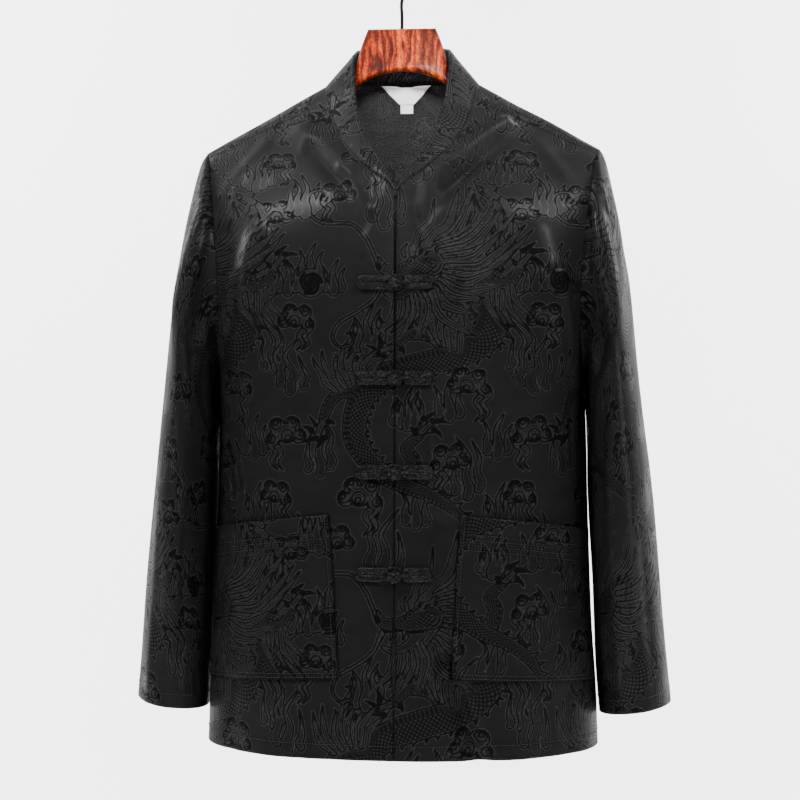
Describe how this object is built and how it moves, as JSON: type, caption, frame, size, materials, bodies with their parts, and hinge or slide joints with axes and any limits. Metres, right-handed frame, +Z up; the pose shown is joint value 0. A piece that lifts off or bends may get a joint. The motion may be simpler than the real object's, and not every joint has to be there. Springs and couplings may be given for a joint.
{
  "type": "chinese-style shirt on hanger",
  "caption": "Stand-collar chinese-style shirt of figured black cloth with straight frog fasteners and patch pockets, hung on a wooden hanger.",
  "frame": {"origin": "inside top of the hanger's hook, where a rail holds it", "axes": "+Z up, -Y the front of the shirt, +X the wearer's left"},
  "size_m": [0.58, 0.2503, 0.86],
  "materials": {
    "cloth": "tonal black jacquard, satin ground with matt figures",
    "trim": "black satin cord",
    "label": "plain white woven tape",
    "wood": "stained and varnished",
    "hook": "black"
  },
  "bodies": {
    "root": {"back": "cloth", "front_left": "cloth", "front_right": "cloth", "sleeve_left": "cloth", "sleeve_right": "cloth", "collar": "cloth", "pocket_left": "cloth", "pocket_right": "cloth", "frog_loop_1": "trim", "frog_loop_2": "trim", "frog_loop_3": "trim", "frog_loop_4": "trim", "frog_knot_1": "trim", "frog_knot_2": "trim", "frog_knot_3": "trim", "frog_knot_4": "trim", "neck_label": "label", "size_tab": "label", "hanger_wood": "wood", "hanger_hook": "hook"}
  },
  "joints": []
}
